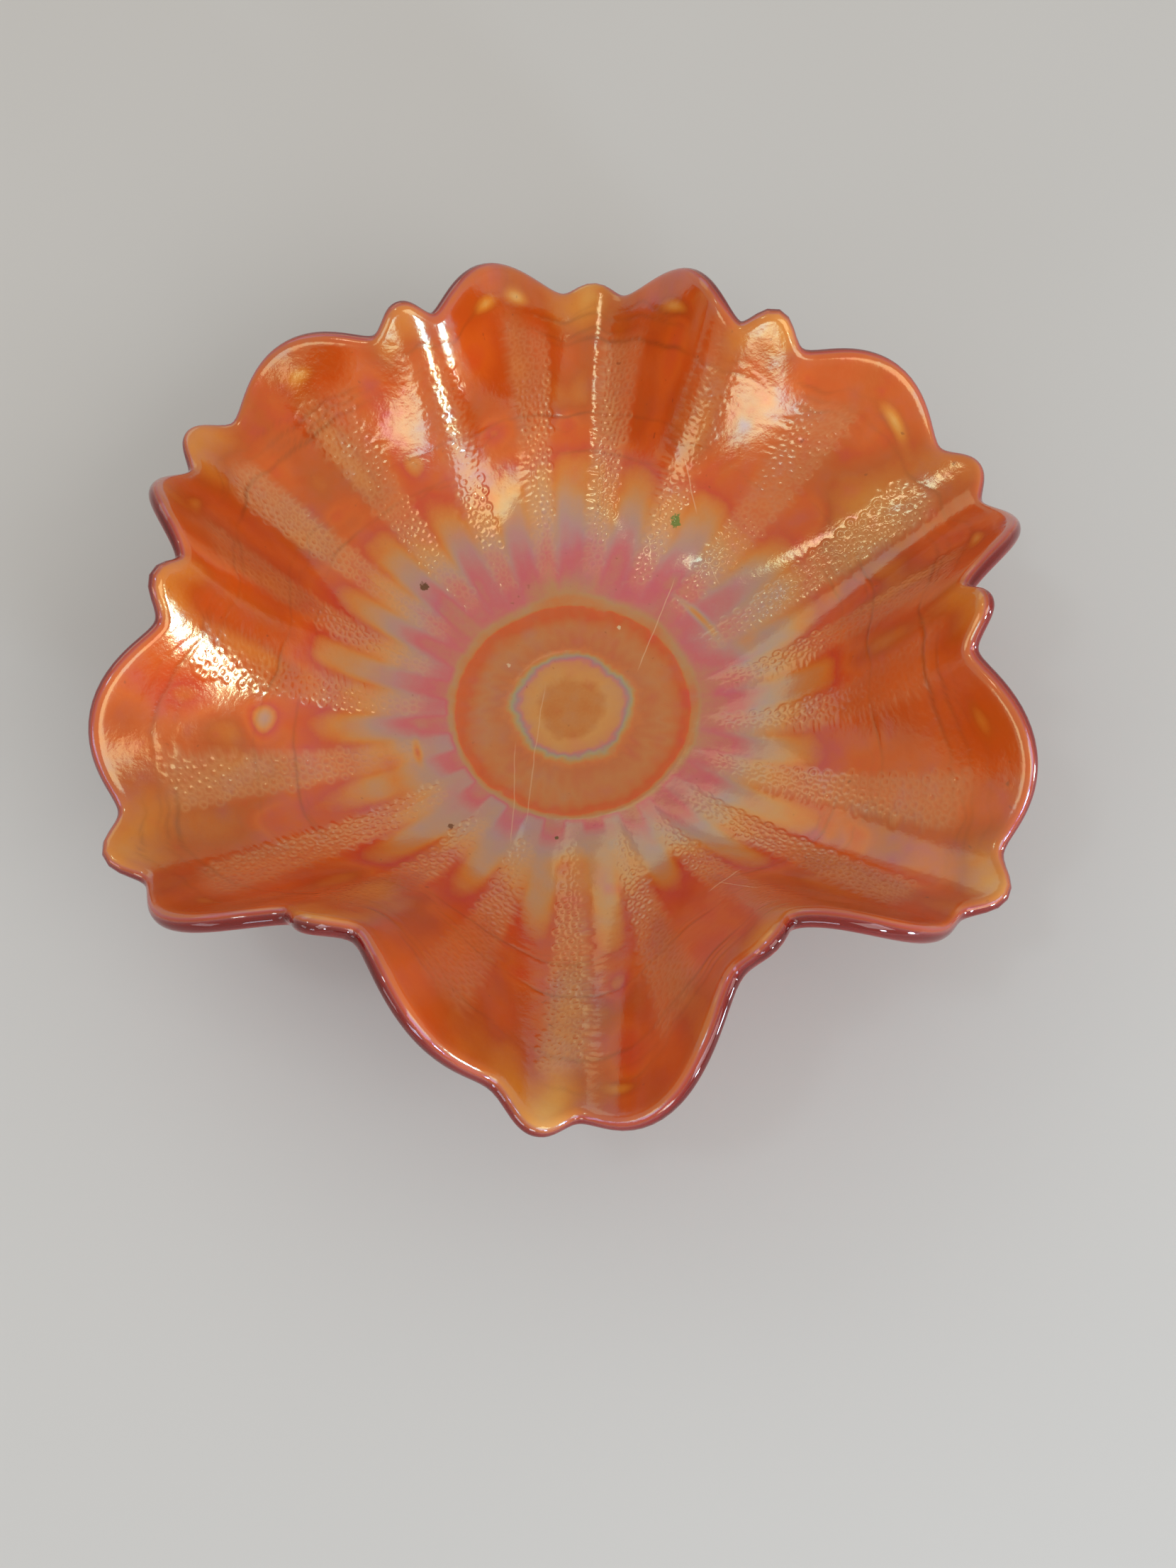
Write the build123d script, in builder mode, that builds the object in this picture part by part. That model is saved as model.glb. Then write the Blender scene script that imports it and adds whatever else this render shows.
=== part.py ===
"""Ruffled pressed glass bowl: one piece of glass on a low round foot.

The wall is a smooth shell that leaves the flat floor and rises to a rim crimped into
six low, wide flares with a high pinch between each pair. The edge is cut into twelve
broad scallops with a small point between neighbours, and is rounded all the way round.
Shallow flutes run up the inside of the wall, one along each smooth ray of the pattern.

Millimetres, +Z up. The origin is the middle of the foot's underside, and one flare
points along +Y. Angles around the bowl are compass angles: 0 at +Y, clockwise from above.
A level says how far up the wall a point is: 0 at the edge of the floor, 1 at the rim.
"""

import os
from math import cos, exp, pi, radians, sin

from build123d import *

# the floor and the foot
floor_radius = 30.5
floor_height = 8.5
foot_radius = 36.0
foot_height = 3.5
foot_ring_width = 5.0
foot_recess_depth = 1.5
foot_edge_radius = 0.8

# a low rounded ring in the middle of the floor
centre_ring_inner = 13.0
centre_ring_outer = 17.0
centre_ring_rise = 0.3

# the crimped line: the rim before the scallops and points are added
flare_radius = 104.0
flare_height = 33.0
pinch_radius = 85.0
pinch_height = 54.0
crimp_angles = (0, 23, 62, 89, 120, 147, 175, 206, 239, 274, 301, 332)

# slope of the wall above level, in degrees, and how far each end keeps its slope
floor_edge_slope = 12.0
flare_slope = 27.0
pinch_slope = 61.0
slope_hold = 0.38

# scallops and points, measured up the wall past the crimped line
point_count = 12
point_reach = (8, 12, 10, 13, 10, 11, 11, 13, 11, 11, 12, 11)
point_width = 3.45
scallop_reach = 14.0
scallop_fullness = 1.7

# the glass, which is thicker where it leaves the foot
glass_thickness = 4.4
thick_zone = 0.3

# one flute along each smooth ray
flute_count = 21
first_flute_angle = 15.5
flute_depth = 0.4
flute_start = 0.12
flute_end = 0.85

# the lines that the surfaces pass through
lines_around = flute_count * 12
wall_levels = (0, 0.04, 0.1, 0.17, 0.25, 0.34, 0.43, 0.52, 0.61, 0.7, 0.78, 0.86, 0.93, 1)
edge_steps = 6


def share_between(low, high, share):
    """The value that lies the given share of the way from low to high."""
    return low + (high - low) * share


def ease(value):
    """A smooth step from 0 to 1 as value goes from 0 to 1."""
    value = min(max(value, 0), 1)
    return value * value * (3 - 2 * value)


def turned(radius, height, angle):
    """The point at this radius and height, at a compass angle."""
    turn = radians(angle)
    return Vector(radius * sin(turn), radius * cos(turn), height)


def crimp_wave(angle):
    """1 in the middle of a flare, 0 in the middle of a pinch, smooth between them."""
    stops = list(crimp_angles) + [crimp_angles[0] + 360]
    angle = angle % 360
    index = max(place for place in range(len(crimp_angles)) if stops[place] <= angle)
    share = (angle - stops[index]) / (stops[index + 1] - stops[index])
    from_flare = 1 if index % 2 == 0 else -1
    return 0.5 + 0.5 * from_flare * cos(pi * share)


def edge_reach(angle):
    """How far the scallop or point at this angle reaches past the crimped line."""
    spacing = 360 / point_count
    nearest = round(angle / spacing)
    offset = angle - nearest * spacing
    point = point_reach[nearest % point_count] * exp(-((offset / point_width) ** 2))
    scallop = scallop_reach * abs(sin(pi * offset / spacing)) ** scallop_fullness
    return point + scallop


def wall_middle(angle, level):
    """Middle of the glass: a curve up to the crimped line, then straight past it."""
    flare = crimp_wave(angle)
    start = Vector((floor_radius + foot_radius) / 2, (floor_height + foot_height) / 2)
    end = Vector(
        share_between(pinch_radius, flare_radius, flare),
        share_between(pinch_height, flare_height, flare),
    )
    start_slope = radians(floor_edge_slope)
    end_slope = radians(share_between(pinch_slope, flare_slope, flare))
    hold = (end - start).length * slope_hold
    leave = Vector(cos(start_slope), sin(start_slope)) * hold
    arrive = Vector(cos(end_slope), sin(end_slope)) * hold
    along = level + edge_reach(angle) / (3 * hold) * max(level, 0) ** 4
    curve = min(along, 1)
    rest = 1 - curve
    place = (
        start * rest**3
        + (start + leave) * (3 * rest**2 * curve)
        + (end - arrive) * (3 * rest * curve**2)
        + end * curve**3
        + arrive * (3 * (along - curve))
    )
    return turned(place.X, place.Y, angle)


def wall_directions(angle, level):
    """Unit vectors square to the inside face, and out past the edge."""
    around = wall_middle(angle + 0.2, level) - wall_middle(angle - 0.2, level)
    upward = wall_middle(angle, level + 0.005) - wall_middle(angle, level - 0.005)
    normal = around.cross(upward).normalized()
    if normal.Z < 0:
        normal = normal * -1
    past_edge = around.cross(normal).normalized()
    if past_edge.dot(upward) < 0:
        past_edge = past_edge * -1
    return normal, past_edge


def half_glass(angle, level):
    """From the middle of the glass to its inside face."""
    normal, _ = wall_directions(angle, max(level, 0.01))
    at_floor = turned((floor_radius - foot_radius) / 2, (floor_height - foot_height) / 2, angle)
    blend = ease(level / thick_zone)
    return at_floor * (1 - blend) + normal * (glass_thickness / 2 * blend)


def flute(angle, level):
    """Depth of the flutes, which fade out towards the floor and the rim."""
    fade = ease(level / flute_start) * ease((1 - level) / (1 - flute_end))
    wave = 0.5 + 0.5 * cos(radians(flute_count * (angle - first_flute_angle)))
    return flute_depth * fade * wave


def outside_point(angle, level):
    return wall_middle(angle, level) - half_glass(angle, level)


def inside_point(angle, level):
    normal, _ = wall_directions(angle, level)
    return wall_middle(angle, level) + half_glass(angle, level) - normal * flute(angle, level)


def edge_point(angle, turn):
    """On the rounded edge: turn 0 is where it meets the inside, 180 the outside."""
    normal, past_edge = wall_directions(angle, 1)
    across = normal * cos(radians(turn)) + past_edge * sin(radians(turn))
    return wall_middle(angle, 1) + across * (glass_thickness / 2)


def ring(point_at, position):
    """One closed line around the bowl, at a level of the wall or a turn of the edge."""
    shares = [step / lines_around for step in range(lines_around + 1)]
    points = [point_at(360 * share, position) for share in shares[:-1]]
    return Wire([Edge.make_spline(points, periodic=True, parameters=shares)])


# the shell: up the outside, over the rounded edge and down the inside to the floor
rings = [ring(outside_point, level) for level in wall_levels]
rings += [ring(edge_point, 180 * step / edge_steps) for step in range(edge_steps - 1, 0, -1)]
rings += [ring(inside_point, level) for level in reversed(wall_levels)]
shell = Solid.make_loft(rings)

with BuildPart() as glass_bowl:
    add(shell)

    # the foot: a low ring under the floor, hollowed a little inside
    hollow_radius = foot_radius - foot_ring_width
    with BuildSketch(Plane.XZ):
        with BuildLine():
            Polyline(
                (foot_radius, foot_edge_radius),
                (foot_radius, foot_height),
                (0, foot_height),
                (0, foot_recess_depth),
                (hollow_radius - foot_recess_depth, foot_recess_depth),
                (hollow_radius, 0),
                (foot_radius - foot_edge_radius, 0),
            )
            RadiusArc(
                (foot_radius - foot_edge_radius, 0),
                (foot_radius, foot_edge_radius),
                -foot_edge_radius,
            )
        make_face()
    revolve(axis=Axis.Z)

    # the low ring in the middle of the floor
    centre_ring_middle = (centre_ring_inner + centre_ring_outer) / 2
    with BuildSketch(Plane.XZ):
        with BuildLine():
            Line((centre_ring_inner, floor_height), (centre_ring_outer, floor_height))
            ThreePointArc(
                (centre_ring_outer, floor_height),
                (centre_ring_middle, floor_height + centre_ring_rise),
                (centre_ring_inner, floor_height),
            )
        make_face()
    revolve(axis=Axis.Z)

glass_bowl.part.label = "glass_bowl"
os.makedirs("parts", exist_ok=True)
export_step(glass_bowl.part, "parts/glass_bowl.step")
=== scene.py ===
"""Looks of the ruffled carnival glass bowl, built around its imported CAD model.

The bowl is one closed mesh of clear glass. Its inside carries the marigold lustre, a
film whose colour runs from gold through orange, red, lilac and pink as it thickens.
Lengths are millimetres until the mesh is made. Angles are compass angles: 0 at +Y,
clockwise from above. A level is 0 at the edge of the floor and 1 at the rim.
"""

import math

import bpy
import numpy as np
from mathutils import Matrix, Vector


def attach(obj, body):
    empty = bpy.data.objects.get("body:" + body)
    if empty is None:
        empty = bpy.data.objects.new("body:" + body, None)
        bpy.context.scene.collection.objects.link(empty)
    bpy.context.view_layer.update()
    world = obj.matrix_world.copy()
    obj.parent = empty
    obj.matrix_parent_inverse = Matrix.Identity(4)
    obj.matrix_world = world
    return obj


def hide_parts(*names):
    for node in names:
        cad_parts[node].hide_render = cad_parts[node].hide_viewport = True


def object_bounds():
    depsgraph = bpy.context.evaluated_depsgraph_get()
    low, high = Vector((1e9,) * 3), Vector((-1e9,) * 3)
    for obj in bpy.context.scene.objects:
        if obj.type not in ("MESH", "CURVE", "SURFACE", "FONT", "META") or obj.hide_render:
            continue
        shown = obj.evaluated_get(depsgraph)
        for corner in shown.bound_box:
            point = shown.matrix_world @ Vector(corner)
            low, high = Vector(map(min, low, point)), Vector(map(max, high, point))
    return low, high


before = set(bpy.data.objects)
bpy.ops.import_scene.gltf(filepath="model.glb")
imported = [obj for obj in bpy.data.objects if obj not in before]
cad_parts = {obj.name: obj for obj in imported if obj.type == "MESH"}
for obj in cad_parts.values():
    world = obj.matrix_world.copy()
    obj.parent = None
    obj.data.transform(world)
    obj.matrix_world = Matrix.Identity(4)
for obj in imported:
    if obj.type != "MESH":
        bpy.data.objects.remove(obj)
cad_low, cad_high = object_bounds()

MM = 0.001
NODE = "glass_bowl"

# ---------------------------------------------------------------- shape, as in the CAD
floor_radius = 30.5
floor_height = 8.5
foot_radius = 36.0
foot_height = 3.5
foot_ring_width = 5.0
foot_recess_depth = 1.5
foot_edge_radius = 0.8
centre_ring_inner = 13.0
centre_ring_outer = 17.0
centre_ring_rise = 0.3
floor_step_radius = 28.6
floor_step_rise = 0.12
flare_radius = 104.0
flare_height = 33.0
pinch_radius = 85.0
pinch_height = 54.0
crimp_angles = np.array((0, 23, 62, 89, 120, 147, 175, 206, 239, 274, 301, 332), float)
floor_edge_slope = 12.0
flare_slope = 27.0
pinch_slope = 61.0
slope_hold = 0.38
point_count = 12
point_reach = np.array((8, 12, 10, 13, 10, 11, 11, 13, 11, 11, 12, 11), float)
point_width = 3.45
scallop_reach = 14.0
scallop_fullness = 1.7
glass_thickness = 4.4
thick_zone = 0.3
ray_count = 21
first_ray_angle = 15.5
flute_depth = 0.4
flute_start = 0.12
flute_end = 0.85

# ---------------------------------------------------------------- pattern on the inside
smooth_share = 0.26          # half width of a smooth ray, as a share of the ray spacing
stipple_start = 0.07
stipple_end = 0.93
stipple_pitch = 2.3
stipple_radius = 0.86
stipple_line = 0.3
stipple_height = 0.26
groove_depth = 0.05          # along both sides of each smooth ray
crease_depth = 0.09

# lilac patches half way up the smooth rays: how strongly each ray shows one
patch_strength = (
    0.15, 0.1, 0.3, 0.5, 0.2, 0.15, 0.55, 0.1, 0.05, 0.6, 0.3,
    0.15, 0.1, 0.4, 0.95, 0.1, 0.05, 0.4, 0.45, 0.6, 0.5,
)

# pale spots near the rim: angle, level, width and strength
pale_spots = (
    (14.5, 0.945, 2.4, 0.5),
    (49, 0.945, 2.4, 0.5),
    (73, 0.94, 2.2, 0.42),
    (102, 0.945, 1.8, 0.2),
    (170, 0.945, 2.0, 0.35),
    (226, 0.94, 1.8, 0.15),
    (288, 0.935, 2.0, 0.25),
    (315, 0.952, 1.7, 0.3),
    (343, 0.948, 1.7, 0.45),
    (348, 0.955, 1.5, 0.45),
)

# smears: angle, level, width, depth and strength
smears = (
    (177, 0.165, 7, 0.04, 0.4),
    (241, 0.205, 9, 0.045, 0.4),
    (248, 0.12, 5, 0.012, 0.6),
    (50, 0.13, 10, 0.012, 0.6),
    (67, 0.2, 3, 0.05, 0.35),
)

# lustre on the floor, from the middle out: radius and film order
floor_rings = (
    (0, 2), (7.6, 1.98), (9.0, 1.91), (11.3, 1.86), (12.2, 1.8), (13.1, 1.73),
    (13.9, 1.68), (14.7, 1.64), (15.5, 1.6), (16.5, 1.55), (18, 1.5), (21, 1.44),
    (24, 1.38), (26.5, 1.3), (27.6, 1.22), (29.6, 1.15), (30.4, 1.1), (31.2, 1.05),
)

# ---------------------------------------------------------------- mesh fineness
smooth_columns = 10
stipple_columns = 32
wall_rows = 200
floor_rows = 26
edge_rows = 8
outside_rows = 20


def ease(value):
    value = np.clip(value, 0, 1)
    return value * value * (3 - 2 * value)


def bump(value, middle, width):
    return np.exp(-(((value - middle) / width) ** 2))


def unit(vectors):
    return vectors / np.linalg.norm(vectors, axis=-1, keepdims=True)


def turned(radius, height, angle):
    turn = np.radians(angle)
    radius, height, turn = np.broadcast_arrays(radius, height, turn)
    return np.stack([radius * np.sin(turn), radius * np.cos(turn), height], -1)


def crimp_wave(angle):
    """1 in the middle of a flare, 0 in the middle of a pinch."""
    stops = np.append(crimp_angles, crimp_angles[0] + 360)
    angle = np.mod(angle, 360)
    index = np.clip(np.searchsorted(stops, angle, side="right") - 1, 0, len(crimp_angles) - 1)
    share = (angle - stops[index]) / (stops[index + 1] - stops[index])
    return 0.5 + 0.5 * np.where(index % 2 == 0, 1, -1) * np.cos(np.pi * share)


def edge_reach(angle):
    """How far the scallops and points reach past the crimped line."""
    spacing = 360 / point_count
    nearest = np.round(angle / spacing)
    offset = angle - nearest * spacing
    point = point_reach[nearest.astype(int) % point_count] * bump(offset, 0, point_width)
    return point + scallop_reach * np.abs(np.sin(np.pi * offset / spacing)) ** scallop_fullness


def wall_middle(angle, level):
    """Middle of the glass: a curve up to the crimped line, then straight past it."""
    flare = crimp_wave(angle)
    start_r, start_z = (floor_radius + foot_radius) / 2, (floor_height + foot_height) / 2
    end_r = pinch_radius + (flare_radius - pinch_radius) * flare
    end_z = pinch_height + (flare_height - pinch_height) * flare
    start_slope = np.radians(floor_edge_slope)
    end_slope = np.radians(pinch_slope + (flare_slope - pinch_slope) * flare)
    hold = np.hypot(end_r - start_r, end_z - start_z) * slope_hold
    along = level + edge_reach(angle) / (3 * hold) * np.maximum(level, 0) ** 4
    curve = np.minimum(along, 1)
    rest = 1 - curve
    weights = rest**3, 3 * rest**2 * curve, 3 * rest * curve**2, curve**3
    past = 3 * (along - curve) * hold

    def blend(start, end, leave, arrive):
        inner = weights[1] * (start + leave * hold) + weights[2] * (end - arrive * hold)
        return weights[0] * start + inner + weights[3] * end + arrive * past

    radius = blend(start_r, end_r, np.cos(start_slope), np.cos(end_slope))
    height = blend(start_z, end_z, np.sin(start_slope), np.sin(end_slope))
    return turned(radius, height, angle)


def wall_directions(angle, level):
    """Unit vectors square to the inside face, and out past the edge."""
    around = wall_middle(angle + 0.2, level) - wall_middle(angle - 0.2, level)
    upward = wall_middle(angle, level + 0.005) - wall_middle(angle, level - 0.005)
    normal = unit(np.cross(around, upward))
    normal = np.where(normal[..., 2:] < 0, -normal, normal)
    past_edge = unit(np.cross(around, normal))
    facing = (past_edge * upward).sum(-1, keepdims=True)
    return normal, np.where(facing < 0, -past_edge, past_edge)


def half_glass(angle, level):
    """From the middle of the glass to its inside face."""
    normal, _ = wall_directions(angle, np.maximum(level, 0.01))
    inward, upward = (floor_radius - foot_radius) / 2, (floor_height - foot_height) / 2
    blend = ease(level / thick_zone)[..., None]
    return turned(inward, upward, angle) * (1 - blend) + normal * (glass_thickness / 2 * blend)


# ---------------------------------------------------------------- pattern fields
def ray_place(angle, level):
    """Where an angle lies across the rays: 0 and whole numbers are middles of smooth rays."""
    sway = -(3.0 - 2.1 * level) * np.cos(2 * np.radians(angle))
    return (angle - sway - first_ray_angle) * ray_count / 360


def across_ray(place):
    """Signed distance from the nearest smooth ray's middle, as a share of the spacing."""
    return place - np.round(place)


def wash(x, y, size, seed):
    """Smooth random variation from about -1 to 1, with features of the given size."""
    draw = np.random.default_rng(seed)
    total = 0
    for _ in range(7):
        heading, phase = draw.uniform(0, 2 * np.pi, 2)
        rate = 2 * np.pi / (size * draw.uniform(0.8, 2.2))
        total = total + np.sin((x * np.cos(heading) + y * np.sin(heading)) * rate + phase)
    return total / 2.6


def scatter(whole, seed):
    """A repeatable random number from 0 to 1 for each whole number."""
    mixed = np.sin(whole * 12.9898 + seed * 78.233) * 43758.5453
    return mixed - np.floor(mixed)


def stipple(angle, level, radius, path):
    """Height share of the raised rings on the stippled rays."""
    place = ray_place(angle, level) + 0.5
    ray = np.round(place)
    spacing = 2 * np.pi * radius / ray_count
    x, y = (place - ray) * spacing, path
    half_width = (0.5 - smooth_share) * spacing
    row_pitch = stipple_pitch * 0.87
    row0 = np.round(y / row_pitch)
    best = np.zeros_like(x)
    for row_step in (-1, 0, 1):
        row = row0 + row_step
        shift = np.where(row % 2 == 0, 0, 0.5)
        column0 = np.round(x / stipple_pitch - shift)
        for column_step in (-1, 0, 1):
            column = column0 + column_step
            key = ray * 7919 + row * 131 + column * 17
            centre_x = (column + shift + 0.36 * (scatter(key, 1) - 0.5)) * stipple_pitch
            centre_y = (row + 0.4 * (scatter(key, 2) - 0.5)) * row_pitch
            size = stipple_radius * (0.8 + 0.42 * scatter(key, 3))
            away = np.hypot(x - centre_x, y - centre_y)
            inside = ease((half_width - np.abs(centre_x) - 0.45 * stipple_radius) / 0.3)
            strength = inside * (0.65 + 0.35 * scatter(key, 4))
            best = np.maximum(best, strength * bump(away, size, stipple_line))
    return best


def stipple_strength(angle, level):
    """The stippling dies away at both ends of a ray, and where a pinch stretched it."""
    fade = ease((level - stipple_start) / 0.05) * ease((stipple_end - level) / 0.06)
    fade = fade * (0.6 + 0.4 * ease((level - 0.15) / 0.2))
    return fade * (1 - 0.75 * (1 - crimp_wave(angle)) * ease((level - 0.42) / 0.15))


def near_angle(angle, where, width):
    """Bell round a compass angle."""
    return bump(np.mod(angle - where + 180, 360) - 180, 0, width)


def creases(angle, level, x, y):
    """Fine lines left round the wall where the glass chilled against the tools."""
    turn = np.radians(angle)
    reach = edge_reach(angle) / scallop_reach
    dip = near_angle(angle, 207, 13) + near_angle(angle, 276, 12)
    ripple = 0.005 * np.sin(17 * turn) + 0.003 * np.sin(41 * turn + 2) + 0.0015 * np.sin(97 * turn)
    upper = 0.9 - 0.045 * reach + 0.012 * np.sin(3 * turn + 1) + ripple - 0.07 * dip
    middle = 0.668 + 0.006 * np.sin(4 * turn) + 0.6 * ripple - 0.045 * dip
    lower = 0.54 + 0.008 * np.sin(3 * turn + 4) + 0.5 * ripple
    lines = (
        (upper, 0.006, 1.0, 5, 0.3),
        (upper + 0.022 + ripple, 0.0045, 0.6, 9, 2.1),
        (upper + 0.05 + 0.01 * np.sin(5 * turn + 2), 0.005, 0.7, 7, 1.4),
        (upper + 0.074 + 1.4 * ripple, 0.0045, 0.6, 11, 0.2),
        (middle, 0.005, 0.9, 4, 2.2),
        (middle - 0.035 + 2 * ripple, 0.0045, 0.4, 8, 4.0),
        (lower, 0.006, 0.7, 6, 0.7),
        (lower - 0.022 + 1.5 * ripple, 0.0045, 0.35, 7, 5.2),
    )
    total = 0
    for where, width, depth, waves, phase in lines:
        faded = np.clip(0.55 + 0.6 * np.sin(waves * turn + phase), 0, 1)
        total = total + depth * faded * bump(level, where, width)
    broken = 0.3 + 0.7 * ease(0.5 + 0.6 * wash(x, y, 16, 15))
    return np.minimum(total, 1) * broken


def film_order(angle, level, x, y):
    """Thickness of the lustre on the wall, on the colour ramp's scale."""
    place = ray_place(angle, level)
    across = across_ray(place)
    ray = np.mod(np.round(place), ray_count).astype(int)
    patch = np.array(patch_strength)[ray]
    flare = crimp_wave(angle)
    turn = np.radians(angle)
    front = 0.5 - 0.5 * np.cos(turn - 0.4)
    streak = wash(place * 9, level * 1.6, 3, 8) * ease(level / 0.2)

    # from the floor up: grey green fringe, pink, lilac grey, yellow, orange
    pink_top = 0.165 + 0.085 * np.cos(turn - 0.26) + 0.02 * wash(x, y, 30, 1)
    low = np.interp(
        level / pink_top,
        (0.0, 0.08, 0.17, 0.75, 1.0, 1.35, 2.0, 3.0),
        (1.04, 1.02, 0.95, 0.9, 0.84, 0.76, 0.7, 0.66),
    )
    between = ease((np.abs(across) - 0.2) / 0.15) * front**3
    low = low - (low - 0.76) * np.clip(1.2 * between, 0, 0.9) * (low > 0.76) * ease(level / 0.03)
    crown = (0.03 + 0.08 * front) * np.minimum(np.abs(across) / smooth_share, 1.3) ** 2
    uneven = 0.035 * np.sin(ray * 2.4 + 1) + 0.02 * wash(x, y, 14, 4) + 0.012 * streak
    fall = np.interp(
        level + crown + uneven,
        (0.2, 0.3, 0.4, 0.5, 0.6, 0.7, 1),
        (0, 0.03, 0.12, 0.22, 0.34, 0.44, 0.46),
    )
    order = low - fall + 0.03 * wash(x, y, 18, 2) + 0.02 * streak

    # upper wall: deep orange at the pinches, patches on the smooth rays of the flares
    gold = flare * (0.6 + 0.5 * wash(x, y, 60, 12))
    upper = 0.15 - 0.16 * gold + 0.09 * wash(x, y, 26, 3) + 0.06 * streak
    bent_across = across + 0.05 * (1 - patch) * wash(x, y, 7, 13)
    bent_level = level + 0.015 * (1 - patch) * wash(x, y, 8, 14)
    round_patch = bump(bent_across, 0, 0.21) * bump(bent_level, 0.635, 0.055)
    high_patch = bump(bent_across, 0, 0.3) * bump(bent_level, 0.86, 0.08)
    upper = upper + patch * (0.74 * round_patch + 0.3 * high_patch)
    upper = upper + 0.14 * bump(level, 0.535, 0.03) * flare
    share = ease((level - 0.48) / 0.2)
    order = order * (1 - share) + upper * share

    # red lines along both sides of the smooth rays, strongest at the front
    side = 0.85 * bump(across, -smooth_share, 0.09) + 0.55 * bump(across, smooth_share, 0.07)
    along = np.interp(level, (0.03, 0.12, 0.3, 0.5, 0.66, 1), (0.1, 0.5, 1, 1, 0.35, 0.2))
    target = np.interp(level, (0.1, 0.26, 0.5, 0.7), (0.74, 0.43, 0.4, 0.3))
    strength = np.clip(side * (0.4 + 0.6 * front) * along, 0, 1)
    order = order + (target - order) * strength

    # smears across the foot of some rays, where the film was wiped thin
    for where, height, width, depth, strength in smears:
        smear = near_angle(angle, where, width) * bump(level, height, depth)
        order = order + (0.3 - order) * np.clip(smear * (strength + 0.2 * streak), 0, 1)

    # paler film on the points and in spots close to the rim
    offset = np.mod(angle + 15, 30) - 15
    order = order - 0.3 * bump(offset, 0, 4.5) * ease((level - 0.88) / 0.12)
    for where, height, width, strength in pale_spots:
        order = order - strength * near_angle(angle, where, width) * bump(level, height, 0.014)
    return np.clip(order, -0.4, 1.06)


def floor_order(radius, angle):
    """Thickness of the lustre on the floor: rings that get thicker towards the middle."""
    turn = np.radians(angle)
    x, y = radius * np.sin(turn), radius * np.cos(turn)
    spokes = wash(turn * 40, radius * 0.25, 3, 11) * ease(radius / 9)
    ragged = 0.28 * wash(x, y, 2.6, 5) + 0.45 * wash(x, y, 9, 6) + 0.12 * spokes
    skew = 1.5 * np.cos(turn + 0.7) * bump(radius, 26, 2.4)
    order = np.interp(radius + ragged + skew, *zip(*floor_rings))
    return order + 0.025 * spokes * ease((radius - 16) / 2)


# ---------------------------------------------------------------- the mesh
def column_angles():
    """Columns of the mesh, closer together on the stippled rays."""
    half = 360 / ray_count
    smooth = np.linspace(-smooth_share, smooth_share, smooth_columns, endpoint=False)
    rough = np.linspace(smooth_share, 1 - smooth_share, stipple_columns, endpoint=False)
    one = np.concatenate([smooth, rough]) * half
    return np.concatenate([first_ray_angle + one + half * ray for ray in range(ray_count)])


def inside_wall(angle, level):
    """Inside face of the wall with its flutes, grooves, stippling and creases."""
    normal, _ = wall_directions(angle, level)
    base = wall_middle(angle, level) + half_glass(angle, level)
    radius = np.hypot(base[..., 0], base[..., 1])
    steps = np.linalg.norm(np.diff(base, axis=0), axis=-1)
    path = np.concatenate([np.zeros((1, base.shape[1])), np.cumsum(steps, axis=0)])
    across = across_ray(ray_place(angle, level))
    fade = ease(level / flute_start) * ease((1 - level) / (1 - flute_end))
    hollow = flute_depth * fade * (0.5 + 0.5 * np.cos(2 * np.pi * across))
    to_line = np.minimum(np.abs(np.abs(across) - smooth_share), 0.12) / 0.12
    groove = (1 - ease(to_line)) * ease((level - 0.02) / 0.06) * ease((0.75 - level) / 0.4)
    strength = stipple_strength(angle, level)
    rings = stipple(angle, level, radius, path) * strength
    rough_ray = strength * ease((np.abs(across) - smooth_share + 0.03) / 0.12)
    lines = creases(angle, level, base[..., 0], base[..., 1])
    relief = -hollow - groove_depth * groove + stipple_height * rings - crease_depth * lines
    return base + normal * relief[..., None], rings, lines, rough_ray


def floor_profile(radius):
    """Height of the floor: a low round ring, and a shallow step at its edge."""
    middle = (centre_ring_inner + centre_ring_outer) / 2
    half = (centre_ring_outer - centre_ring_inner) / 2
    ring = centre_ring_rise * np.clip(1 - ((radius - middle) / half) ** 2, 0, 1)
    return floor_height + ring + floor_step_rise * bump(radius, floor_step_radius, 0.8)


def foot_rows_profile():
    """Radius and height down the foot and in under the floor."""
    hollow = foot_radius - foot_ring_width
    arc = np.radians(np.linspace(0, 90, 5))
    corner_r = foot_radius - foot_edge_radius + foot_edge_radius * np.cos(arc)
    corner_z = foot_edge_radius - foot_edge_radius * np.sin(arc)
    profile = [(foot_radius, 2.4), *zip(corner_r, corner_z), (33.2, 0), (hollow, 0)]
    profile += [(hollow - 0.7, 0.75), (hollow - foot_recess_depth, foot_recess_depth)]
    profile += [(24, foot_recess_depth), (16, foot_recess_depth), (8, foot_recess_depth)]
    return profile


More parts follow.
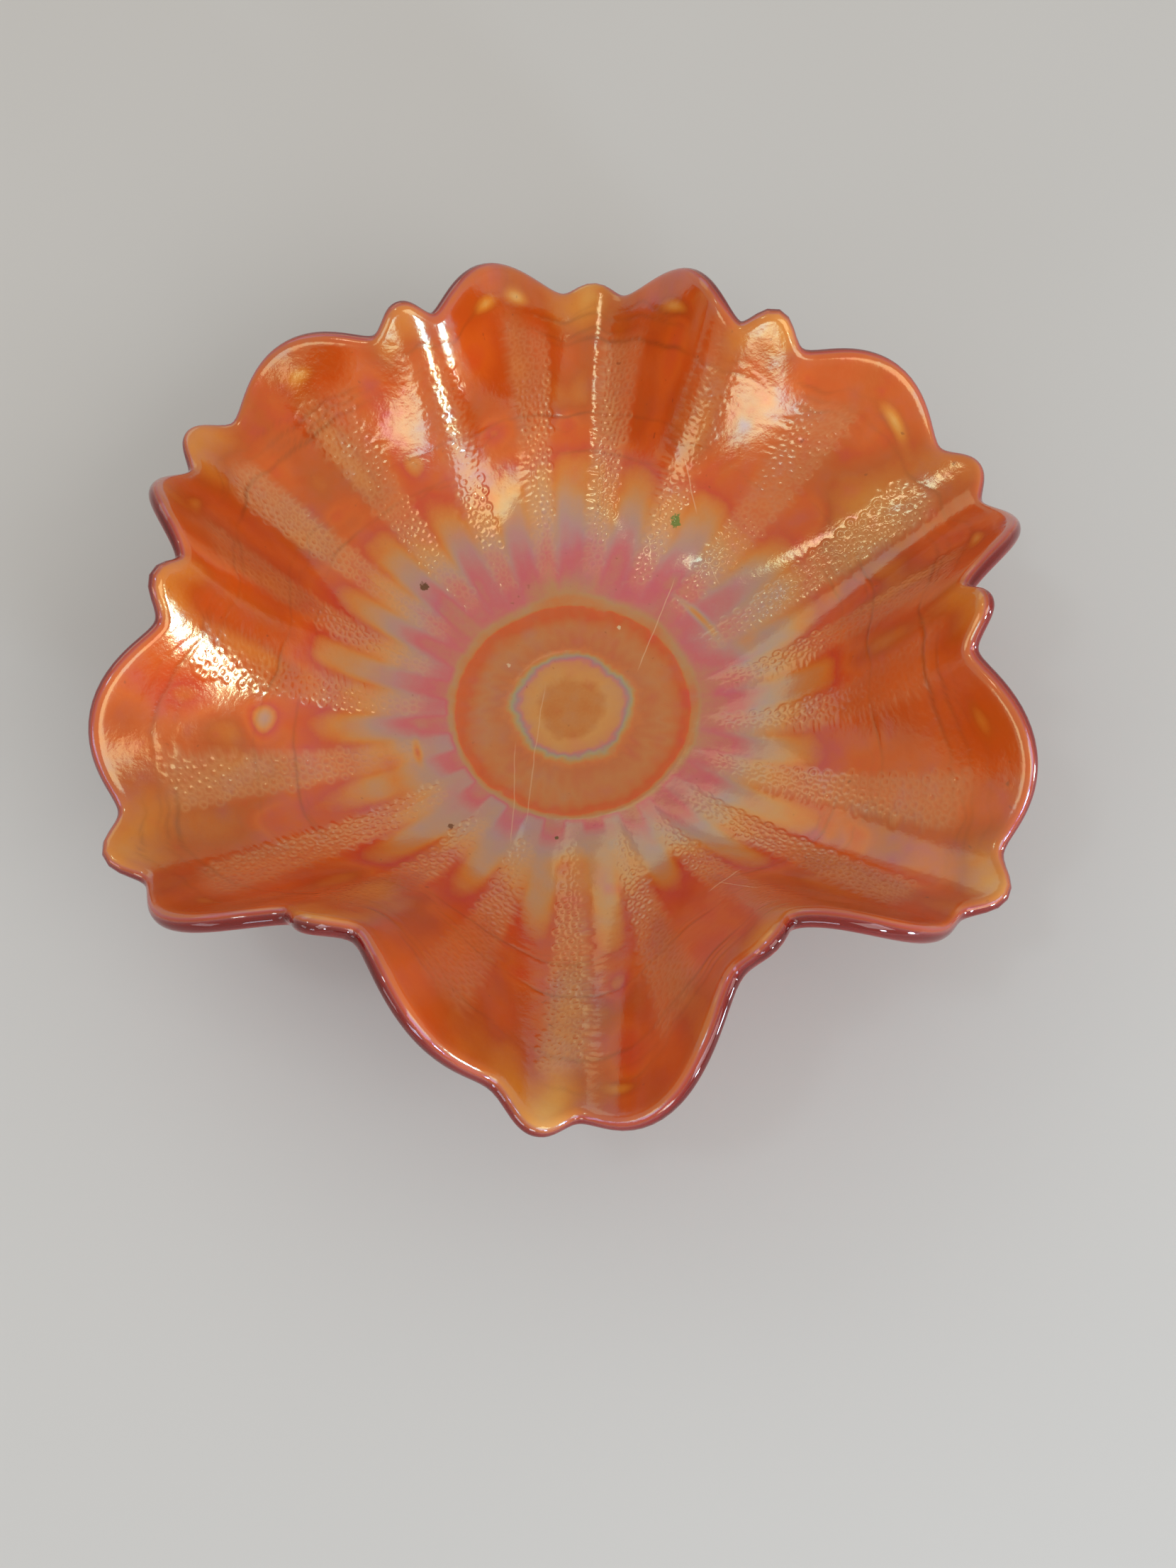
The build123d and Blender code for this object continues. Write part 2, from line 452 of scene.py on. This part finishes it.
def build_bowl():
    columns = column_angles()
    count = len(columns)

    # floor, from the middle out
    radii = np.linspace(0, floor_radius, floor_rows + 1)[1:-1]
    angle, radius = np.meshgrid(columns, radii)
    floor = turned(radius, floor_profile(radius), angle)
    floor_value = floor_order(radius, angle)

    # inside of the wall
    levels = np.linspace(0, 1, wall_rows)
    angle, level = np.meshgrid(columns, levels)
    wall, rings, lines, rough_ray = inside_wall(angle, level)
    wall_value = film_order(angle, level, wall[..., 0], wall[..., 1])

    # rounded edge
    turns = np.linspace(0, 180, edge_rows + 2)[1:-1]
    edge_angle, turn = np.meshgrid(columns, np.radians(turns))
    normal, past_edge = wall_directions(edge_angle, np.ones_like(edge_angle))
    across = normal * np.cos(turn)[..., None] + past_edge * np.sin(turn)[..., None]
    edge = wall_middle(edge_angle, np.ones_like(edge_angle)) + across * (glass_thickness / 2)

    # outside of the wall, then the foot
    out_angle, out_level = np.meshgrid(columns, np.linspace(1, 0, outside_rows))
    outside = wall_middle(out_angle, out_level) - half_glass(out_angle, out_level)
    foot = np.stack([turned(r, z, columns) for r, z in foot_rows_profile()])

    rows = np.concatenate([floor, wall, edge, outside, foot])

    def field(in_floor, in_wall, on_edge=0.0, on_outside=0.0):
        on_floor = np.broadcast_to(in_floor, floor.shape[:2])
        on_wall = np.broadcast_to(in_wall, wall.shape[:2])
        on_edge = np.broadcast_to(on_edge, edge.shape[:2])
        on_outside = np.broadcast_to(on_outside, outside.shape[:2])
        on_foot = np.zeros(foot.shape[:2])
        return np.concatenate([on_floor, on_wall, on_edge, on_outside, on_foot])

    # the lustre thins out over the rounded edge, along an uneven line
    to_edge = np.linalg.norm(wall - wall[-1:], axis=-1)
    ragged = 0.2 * wash(wall[..., 0], wall[..., 1], 9, 7)
    near_edge = 1 - ease((to_edge - ragged) / 2)
    over = 1 - ease((turn - 0.7) / 0.9)
    outer = np.linalg.norm(outside - outside[:1], axis=-1)
    fields = {
        "order": field(floor_value, wall_value, wall_value[-1]),
        "film": field(1.0, 1.0, over),
        "stipple": field(0.0, rings),
        "rough_ray": field(0.0, rough_ray),
        "crease": field(0.0, lines),
        # edge: paler lustre near the rim, and on bare glass the strength of the painted crimson
        # reflection, fading over 9 mm down the outside
        "edge": field(0.0, 0.35 * near_edge, 0.35 + 0.65 * ease(turn / 1.2), 1 - ease(outer / 9)),
    }
    return mesh_piece("bowl", rows, fields, floor_height, foot_recess_depth)


def mesh_piece(name, rows, fields, first_height, last_height):
    """A closed mesh from rings of points, with a middle point at each end."""
    row_count, count = rows.shape[:2]
    points = np.concatenate([rows.reshape(-1, 3), [[0, 0, first_height], [0, 0, last_height]]])
    points = np.clip(points, np.array(cad_low) / MM, np.array(cad_high) / MM)
    first, last = len(points) - 2, len(points) - 1
    here = np.arange(count)
    beside = np.roll(here, -1)
    start = (np.arange(row_count - 1) * count)[:, None]
    quads = np.stack(
        [start + here, start + beside, start + count + beside, start + count + here], -1
    ).reshape(-1, 4)
    end = (row_count - 1) * count
    fans = np.concatenate(
        [
            np.stack([np.full(count, first), beside, here], -1),
            np.stack([np.full(count, last), end + here, end + beside], -1),
        ]
    )
    mesh = bpy.data.meshes.new(name)
    mesh.vertices.add(len(points))
    mesh.vertices.foreach_set("co", (points * MM).astype(np.float32).ravel())
    corners = np.concatenate([quads.ravel(), fans.ravel()])
    totals = np.concatenate([np.full(len(quads), 4), np.full(len(fans), 3)])
    mesh.loops.add(len(corners))
    mesh.loops.foreach_set("vertex_index", corners.astype(np.int32))
    mesh.polygons.add(len(totals))
    mesh.polygons.foreach_set("loop_start", (np.cumsum(totals) - totals).astype(np.int32))
    mesh.polygons.foreach_set("use_smooth", np.ones(len(totals), bool))
    mesh.update(calc_edges=True)
    mesh.validate()
    for key, values in fields.items():
        ends = [values[0].mean(), values[-1].mean()]
        data = np.concatenate([values.ravel(), ends]).astype(np.float32)
        mesh.attributes.new(key, "FLOAT", "POINT").data.foreach_set("value", data)
    piece = bpy.data.objects.new(name, mesh)
    bpy.context.scene.collection.objects.link(piece)
    return piece


# ---------------------------------------------------------------- materials
def srgb(red, green, blue):
    """A colour given as it looks on a screen, 0 to 255, made linear."""
    out = []
    for value in (red, green, blue):
        share = value / 255
        out.append(share / 12.92 if share <= 0.04045 else ((share + 0.055) / 1.055) ** 2.4)
    return (*out, 1.0)


class Nodes:
    """Small helper that adds and joins shader nodes."""

    def __init__(self, material):
        self.tree = material.node_tree
        self.tree.nodes.clear()

    def add(self, kind, **settings):
        node = self.tree.nodes.new(kind)
        for key, value in settings.items():
            setattr(node, key, value)
        return node

    def join(self, source, target):
        self.tree.links.new(source, target)

    def put(self, socket, value):
        if isinstance(value, bpy.types.NodeSocket):
            self.join(value, socket)
        else:
            socket.default_value = value

    def attribute(self, name):
        return self.add("ShaderNodeAttribute", attribute_name=name).outputs["Fac"]

    def math(self, operation, *values, clamp=False):
        node = self.add("ShaderNodeMath", operation=operation, use_clamp=clamp)
        for socket, value in zip(node.inputs, values):
            self.put(socket, value)
        return node.outputs[0]

    def dot(self, vector, way):
        node = self.add("ShaderNodeVectorMath", operation="DOT_PRODUCT")
        self.put(node.inputs[0], vector)
        node.inputs[1].default_value = way
        return node.outputs["Value"]

    def noise(self, vector, scale, detail, roughness):
        node = self.add("ShaderNodeTexNoise")
        self.join(vector, node.inputs["Vector"])
        node.inputs["Scale"].default_value = scale
        node.inputs["Detail"].default_value = detail
        node.inputs["Roughness"].default_value = roughness
        return node.outputs["Fac"]

    def vary(self, vector, amount, scale, detail, roughness):
        """Noise round zero, up to about half the amount either way."""
        centred = self.math("SUBTRACT", self.noise(vector, scale, detail, roughness), 0.5)
        return self.math("MULTIPLY", centred, amount)

    def mix(self, share, first, second):
        node = self.add("ShaderNodeMix", data_type="RGBA")
        self.put(node.inputs["Factor"], share)
        self.put(node.inputs[6], first)
        self.put(node.inputs[7], second)
        return node.outputs[2]

    def ramp(self, value, stops):
        node = self.add("ShaderNodeValToRGB")
        band = node.color_ramp
        while len(band.elements) > 1:
            band.elements.remove(band.elements[-1])
        band.elements[0].position = stops[0][0]
        band.elements[0].color = stops[0][1]
        for place, colour in stops[1:]:
            band.elements.new(place).color = colour
        self.join(value, node.inputs["Fac"])
        return node.outputs["Color"]


# lustre colours by film order, thin to thick
order_low, order_high = -0.4, 2.0
lustre_colours = (
    (-0.40, (230, 173, 103)),
    (-0.28, (226, 151, 67)),
    (-0.16, (217, 124, 38)),
    (0.06, (194, 76, 12)),
    (0.15, (203, 74, 12)),
    (0.25, (217, 87, 19)),
    (0.34, (215, 74, 26)),
    (0.42, (209, 64, 38)),
    (0.48, (215, 101, 38)),
    (0.54, (219, 124, 50)),
    (0.60, (210, 136, 80)),
    (0.66, (202, 140, 106)),
    (0.72, (190, 140, 124)),
    (0.78, (190, 134, 132)),
    (0.84, (198, 116, 122)),
    (0.90, (206, 90, 110)),
    (1.00, (192, 134, 93)),
    (1.08, (207, 114, 57)),
    (1.12, (217, 80, 33)),
    (1.20, (209, 78, 31)),
    (1.28, (205, 99, 48)),
    (1.40, (200, 116, 67)),
    (1.50, (198, 101, 58)),
    (1.56, (209, 111, 57)),
    (1.60, (198, 136, 74)),
    (1.64, (169, 151, 117)),
    (1.68, (175, 124, 127)),
    (1.72, (200, 116, 110)),
    (1.78, (207, 134, 84)),
    (1.90, (213, 142, 77)),
    (2.00, (198, 109, 46)),
)


# marks on the inside, seen from above: flecks by x, y, size and colour
fleck_raggedness = (2.4, 900, 2, 0.6)
flecks = (
    (-40.6, 31.5, 1.2, (104, 26, 14)),
    (-27.1, -35.8, 0.9, (120, 40, 20)),
    (-1.5, -36.5, 0.5, (90, 40, 24)),
    (24.5, 50.6, 1.5, (104, 122, 52)),
    (11.0, 24.0, 0.6, (226, 190, 150)),
    (-17.0, 11.5, 0.6, (226, 180, 140)),
)

# scratches by their two ends and strength
scratch_width = 0.22
scratch_wobble = (1.2 * MM, 120, 2, 0.5)
scratches = (
    ((25.8, 62.5), (30.1, 51.6), 0.5),
    ((33.0, 41.7), (36.6, 35.1), 0.5),
    ((25.0, 38.0), (16.0, 11.0), 0.6),
    ((42.6, -47.9), (34.7, -55.8), 0.6),
    ((45.7, -57.2), (37.0, -52.5), 0.5),
    ((-7.4, 7.2), (-9.5, -34.0), 0.4),
    ((-13.5, -10.0), (-12.5, -40.0), 0.4),
)


def fleck_mask(n, place, x, y, size):
    """1 inside a ragged fleck."""
    across = n.math("SUBTRACT", n.dot(place, (1, 0, 0)), x * MM)
    along = n.math("SUBTRACT", n.dot(place, (0, 1, 0)), y * MM)
    squares = (n.math("MULTIPLY", apart, apart) for apart in (across, along))
    away = n.math("SQRT", n.math("ADD", *squares))
    away = n.math("DIVIDE", away, size * MM)
    away = n.math("ADD", away, n.vary(place, *fleck_raggedness))
    return n.math("MULTIPLY", n.math("SUBTRACT", 1.0, away), 3.0, clamp=True)


def scratch_mask(n, place, start, end):
    """1 on a thin scratch, fading at its ends and broken up a little."""
    (ax, ay), (bx, by) = start, end
    length = math.hypot(bx - ax, by - ay)
    dx, dy = (bx - ax) / length, (by - ay) / length
    sideways = n.math("SUBTRACT", n.dot(place, (-dy, dx, 0)), (ay * dx - ax * dy) * MM)
    sideways = n.math("ADD", sideways, n.vary(place, *scratch_wobble))
    sideways = n.math("DIVIDE", n.math("ABSOLUTE", sideways), scratch_width * MM)
    thin = n.math("SUBTRACT", 1.0, sideways, clamp=True)
    middle = ((ax + bx) * dx + (ay + by) * dy) / 2 * MM
    along = n.math("ABSOLUTE", n.math("SUBTRACT", n.dot(place, (dx, dy, 0)), middle))
    inside = n.math("SUBTRACT", 1.0, n.math("DIVIDE", along, length / 2 * MM))
    inside = n.math("MULTIPLY", inside, 4.0, clamp=True)
    return n.math("MULTIPLY", thin, inside)


# the clear glass and the film on it; thicknesses are in nanometres
glass_ior = 1.52
film_ior = 1.73
film_thickness = 250.0
film_per_order = 6.0
coat_weight = 0.2
coat_roughness = 0.05
# less see-through near the rim, so that the painted crimson reflection shows as a colour
painted_crimson_share = 0.12
clearness = 0.94

# unevenness: amount, then scale, detail and roughness of the noise
order_cloud = (0.09, 160, 3, 0.6)
order_speckle = (0.03, 1400, 2, 0.6)
film_sheen = (130.0, 55, 3, 0.6)
film_mottle = (80.0, 170, 2, 0.5)
ring_thinning = 0.05

# roughness: of the smoothest film, added by noise, added on the rings
least_roughness = 0.09
added_roughness = 0.12
ring_roughness = 0.04
haze_noise = (90, 3, 0.6)
grain_noise = (420, 3, 0.55)
grain_strength = 0.25
grain_depth = 0.3 * MM

# tints laid over the lustre, with their strengths
ring_lustre, ring_tint, ray_tint = (224, 158, 108), 0.3, 0.28
crease_lustre, crease_tint = (130, 52, 16), 0.5
speck_lustre, speck_tint = (126, 48, 18), 0.5
speck_noise = (480, 1, 0.5)
speck_threshold = 0.76
scratch_lustre = (240, 196, 156)
edge_lustre, edge_tint = (214, 120, 84), 0.35
clear_glass = (252, 226, 206)
# crimson painted on the bare glass near the rim: a painted reflection of the lustre seen inside
# the thick edge
painted_rim_crimson = (204, 44, 42)


def lustre_colour(n, place, order):
    """Colour of the lustre by film order, with its rings, creases and marks."""
    rings = n.attribute("stipple")
    lines = n.attribute("crease")
    span = order_high - order_low
    share = n.math("DIVIDE", n.math("SUBTRACT", order, order_low), span, clamp=True)
    stops = [((at - order_low) / span, srgb(*colour)) for at, colour in lustre_colours]
    colour = n.ramp(share, stops)

    # rings catch a paler lustre, creases and specks hold a darker one
    pale = n.math("MULTIPLY", n.attribute("rough_ray"), ray_tint)
    pale = n.math("ADD", pale, n.math("MULTIPLY", rings, ring_tint))
    colour = n.mix(pale, colour, srgb(*ring_lustre))
    dark = n.math("MULTIPLY", lines, crease_tint, clamp=True)
    colour = n.mix(dark, colour, srgb(*crease_lustre))
    speck = n.math("SUBTRACT", n.noise(place, *speck_noise), speck_threshold)
    speck = n.math("MULTIPLY", speck, 12.0, clamp=True)
    colour = n.mix(n.math("MULTIPLY", speck, speck_tint), colour, srgb(*speck_lustre))

    for x, y, size, shade in flecks:
        colour = n.mix(fleck_mask(n, place, x, y, size), colour, srgb(*shade))
    for start, end, strength in scratches:
        mask = n.math("MULTIPLY", scratch_mask(n, place, start, end), strength)
        colour = n.mix(mask, colour, srgb(*scratch_lustre))
    return colour


def lustred_glass():
    material = bpy.data.materials.new("marigold_glass")
    material.use_nodes = True
    n = Nodes(material)
    place = n.add("ShaderNodeTexCoord").outputs["Object"]
    film = n.attribute("film")
    rings = n.attribute("stipple")
    edge = n.attribute("edge")

    # film order with a fine unevenness, a little thinner on the rings
    order = n.math("ADD", n.attribute("order"), n.vary(place, *order_cloud))
    order = n.math("ADD", order, n.vary(place, *order_speckle))
    order = n.math("SUBTRACT", order, n.math("MULTIPLY", rings, ring_thinning))

    # the lustre where there is film, clear glass elsewhere, and along the rim a painted crimson
    # reflection of the lustre seen inside the thick edge
    lustre = lustre_colour(n, place, order)
    lustre = n.mix(n.math("MULTIPLY", edge, edge_tint), lustre, srgb(*edge_lustre))
    bare = n.mix(edge, srgb(*clear_glass), srgb(*painted_rim_crimson))
    shader = n.add("ShaderNodeBsdfPrincipled")
    n.join(n.mix(film, bare, lustre), shader.inputs["Base Color"])
    # near the rim part of the light comes back as the painted crimson reflection instead of
    # passing through
    clear = n.math("SUBTRACT", clearness, n.math("MULTIPLY", edge, painted_crimson_share))
    through = n.math("MULTIPLY", n.math("SUBTRACT", 1.0, film), clear)
    n.join(through, shader.inputs["Transmission Weight"])

    # the film is rougher than the bare glass
    haze = n.math("MULTIPLY", n.noise(place, *haze_noise), added_roughness)
    rough = n.math("ADD", least_roughness, haze)
    rough = n.math("ADD", rough, n.math("MULTIPLY", rings, ring_roughness))
    rough = n.math("MULTIPLY", rough, n.math("ADD", n.math("MULTIPLY", film, 0.8), 0.2))
    n.join(rough, shader.inputs["Roughness"])

    # interference in the film tints the reflections
    thickness = n.math("ADD", film_thickness, n.math("MULTIPLY", order, film_per_order))
    thickness = n.math("ADD", thickness, n.vary(place, *film_sheen))
    thickness = n.math("ADD", thickness, n.vary(place, *film_mottle))
    n.join(n.math("MULTIPLY", thickness, film), shader.inputs["Thin Film Thickness"])
    shader.inputs["IOR"].default_value = glass_ior
    shader.inputs["Thin Film IOR"].default_value = film_ior
    shader.inputs["Coat Weight"].default_value = coat_weight
    shader.inputs["Coat Roughness"].default_value = coat_roughness

    relief = n.add("ShaderNodeBump")
    relief.inputs["Strength"].default_value = grain_strength
    relief.inputs["Distance"].default_value = grain_depth
    grain = n.math("MULTIPLY", n.noise(place, *grain_noise), film)
    n.join(grain, relief.inputs["Height"])
    n.join(relief.outputs["Normal"], shader.inputs["Normal"])

    output = n.add("ShaderNodeOutputMaterial")
    n.join(shader.outputs["BSDF"], output.inputs["Surface"])
    return material


stage_dark = (209, 207, 206)
stage_light = (215, 213, 212)
stage_roughness = 0.9
stage_specular = 0.1


def floor_material():
    material = bpy.data.materials.new("studio_floor")
    material.use_nodes = True
    n = Nodes(material)
    place = n.add("ShaderNodeTexCoord").outputs["Object"]
    shade = n.noise(place, 3, 2, 0.5)
    shader = n.add("ShaderNodeBsdfPrincipled")
    colour = n.mix(shade, srgb(*stage_dark), srgb(*stage_light))
    n.join(colour, shader.inputs["Base Color"])
    shader.inputs["Roughness"].default_value = stage_roughness
    shader.inputs["Specular IOR Level"].default_value = stage_specular
    output = n.add("ShaderNodeOutputMaterial")
    n.join(shader.outputs["BSDF"], output.inputs["Surface"])
    return material


# ---------------------------------------------------------------- stage, light, camera
stage_half_width = 2.5
world_colour = (1.0, 0.965, 0.88, 1)
world_strength = 0.55
lamp_aim_height = 0.04

# lamps: name, azimuth, elevation, distance, width, height, power and colour
daylight = (0.62, 0.82, 1.0)
softboxes = (
    ("main", 131, 34, 1.8, 1.3, 0.9, 9.5, (0.98, 0.97, 0.96)),
    ("back", 322, 36, 1.8, 1.6, 0.9, 2.6, (1.0, 0.97, 0.92)),
    ("fill", 226, 20, 1.8, 0.8, 0.5, 2.8, (0.84, 0.92, 1.0)),
    ("skylight", 250, 64, 1.5, 0.2, 0.2, 0.9, (0.8, 0.9, 1.0)),
    ("window_right", 107, 2.5, 1.0, 0.15, 0.1, 3.0, daylight),
    ("window_middle", 139, 12, 1.0, 0.1, 0.1, 2.2, daylight),
    ("window_front", 184, 14, 1.0, 0.3, 0.2, 1.0, daylight),
)


def stage_floor():
    mesh = bpy.data.meshes.new("stage_floor")
    half = stage_half_width
    corners = [(-half, -half, 0), (half, -half, 0), (half, half, 0), (-half, half, 0)]
    mesh.from_pydata(corners, [], [(0, 1, 2, 3)])
    stage = bpy.data.objects.new("stage_floor", mesh)
    bpy.context.scene.collection.objects.link(stage)
    mesh.materials.append(floor_material())


def softbox(name, azimuth, elevation, distance, width, height, power, colour):
    """A soft lamp at a compass direction from the bowl, facing it."""
    lamp = bpy.data.lights.new(name, "AREA")
    lamp.shape = "RECTANGLE"
    lamp.size, lamp.size_y = width, height
    lamp.energy = power
    lamp.color = colour
    a, e = math.radians(azimuth), math.radians(elevation)
    way = Vector((math.sin(a) * math.cos(e), math.cos(a) * math.cos(e), math.sin(e)))
    holder = bpy.data.objects.new(name, lamp)
    holder.location = way * distance + Vector((0, 0, lamp_aim_height))
    holder.rotation_euler = way.to_track_quat("Z", "Y").to_euler()
    bpy.context.scene.collection.objects.link(holder)


def lights():
    world = bpy.data.worlds.new("studio")
    bpy.context.scene.world = world
    world.use_nodes = True
    background = world.node_tree.nodes["Background"]
    background.inputs["Color"].default_value = world_colour
    background.inputs["Strength"].default_value = world_strength
    for lamp in softboxes:
        softbox(*lamp)
    bpy.context.scene.view_settings.view_transform = "Standard"


camera_place = (0.0204, -0.1737, 0.3431)
camera_heading = -5.67
camera_tilt = 65.4
camera_roll = -2.7
camera_lens = 34.0


def camera():
    data = bpy.data.cameras.new("camera")
    data.sensor_width = 36
    data.lens = camera_lens
    data.clip_start = 0.01
    holder = bpy.data.objects.new("camera", data)
    heading, tilt, roll = (math.radians(v) for v in (camera_heading, camera_tilt, camera_roll))
    ahead = math.cos(tilt)
    forward = Vector((math.sin(heading) * ahead, math.cos(heading) * ahead, -math.sin(tilt)))
    level_right = Vector((math.cos(heading), -math.sin(heading), 0))
    level_up = level_right.cross(forward)
    right = level_right * math.cos(roll) + level_up * math.sin(roll)
    up = level_up * math.cos(roll) - level_right * math.sin(roll)
    turn = Matrix((right, up, -forward)).transposed().to_4x4()
    holder.matrix_world = Matrix.Translation(camera_place) @ turn
    bpy.context.scene.collection.objects.link(holder)
    bpy.context.scene.camera = holder


camera()
stage_floor()
lights()
bowl = build_bowl()
bowl.data.materials.append(lustred_glass())
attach(bowl, "root")
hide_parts(NODE)
